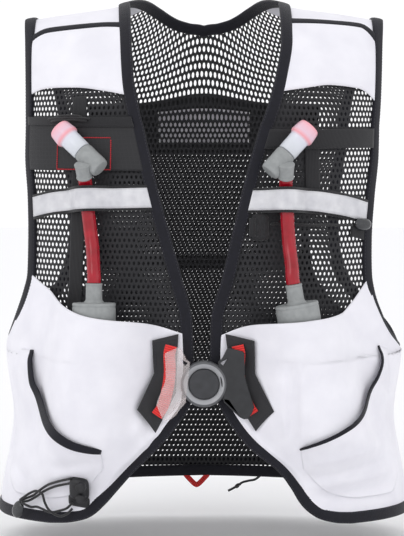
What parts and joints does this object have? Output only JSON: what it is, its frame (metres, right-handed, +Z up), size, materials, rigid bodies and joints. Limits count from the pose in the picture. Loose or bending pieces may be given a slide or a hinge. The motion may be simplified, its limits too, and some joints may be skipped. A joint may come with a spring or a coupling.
{
  "type": "running hydration vest",
  "caption": "Sleeveless running vest in open mesh with pockets holding soft flasks, bound armholes and neck, drink tubes to the chest and a dial buckle closing the front.",
  "frame": {"origin": "between the shoulders, midway across, where the shoulder straps rest on the wearer", "axes": "+Z up, the front faces -Y, +X towards the wearer's left side"},
  "size_m": [0.4205, 0.2805, 0.5241],
  "materials": {
    "mesh_black": "open knitted mesh, matt",
    "fabric_white": "smooth stretch cloth, matt",
    "binding_navy": "stitched stretch binding, matt",
    "webbing_black": "woven webbing, matt",
    "ripstop_black": "thin woven cloth, slight sheen",
    "tape_silver": "reflective tape, satin",
    "patch_light": "plain light cloth, matt",
    "flask_clear": "soft clear plastic film, cloudy",
    "cap_grey": "moulded plastic, satin",
    "tube_red": "soft red tube, glossy",
    "bite_pink": "clear pinkish silicone, satin",
    "plastic_black": "moulded plastic, satin",
    "plastic_clear": "clouded clear plastic, glossy",
    "plastic_dark": "dark grey plastic, satin",
    "webbing_red": "woven red webbing, matt",
    "cord_black": "round elastic cord, matt"
  },
  "bodies": {
    "root": {"back_panel": "mesh_black", "front_panel_R": "mesh_black", "front_panel_L": "mesh_black", "yoke_R": "fabric_white", "yoke_L": "fabric_white", "shoulder_R": "fabric_white", "shoulder_L": "fabric_white", "shoulder_piping_R": "binding_navy", "shoulder_piping_L": "binding_navy", "front_binding_R": "binding_navy", "collar_binding": "binding_navy", "front_binding_L": "binding_navy", "hem_binding": "binding_navy", "armhole_binding_R": "binding_navy", "armhole_binding_L": "binding_navy", "back_pocket": "mesh_black", "pocket_top_band": "webbing_black", "back_patch": "patch_light", "pocket_low_band": "webbing_black", "lower_pocket_R": "fabric_white", "lower_pocket_L": "fabric_white", "pocket_patch_R": "fabric_white", "pocket_patch_L": "fabric_white", "patch_trim_R": "binding_navy", "patch_trim_L": "binding_navy", "chest_band_R": "webbing_black", "chest_band_L": "webbing_black", "reflective_tape_R": "tape_silver", "reflective_tape_L": "tape_silver", "chest_panel_R": "ripstop_black", "chest_webbing_R": "webbing_black", "chest_webbing_L": "webbing_black", "flask_R": "flask_clear", "flask_L": "flask_clear", "flask_cap_R": "cap_grey", "flask_cap_L": "cap_grey", "drink_tube_R": "tube_red", "drink_tube_L": "tube_red", "valve_body_R": "cap_grey", "valve_body_L": "cap_grey", "bite_valve_R": "bite_pink", "bite_valve_L": "bite_pink", "buckle_plate_R": "plastic_black", "buckle_plate_L": "plastic_black", "buckle_arm_R": "plastic_clear", "buckle_arm_L": "plastic_dark", "red_webbing_R": "webbing_red", "red_webbing_L": "webbing_red", "dial_ring": "plastic_clear", "dial_button": "plastic_dark", "cord_lock_R": "plastic_black", "cord_pull_R": "plastic_black", "lock_cord_outer": "cord_black", "lock_cord_inner": "cord_black", "chest_tab_L": "webbing_black", "chest_cord_L": "cord_black", "cord_pull_L": "plastic_black", "hem_cord": "cord_black", "hem_loop": "webbing_red"}
  },
  "joints": []
}
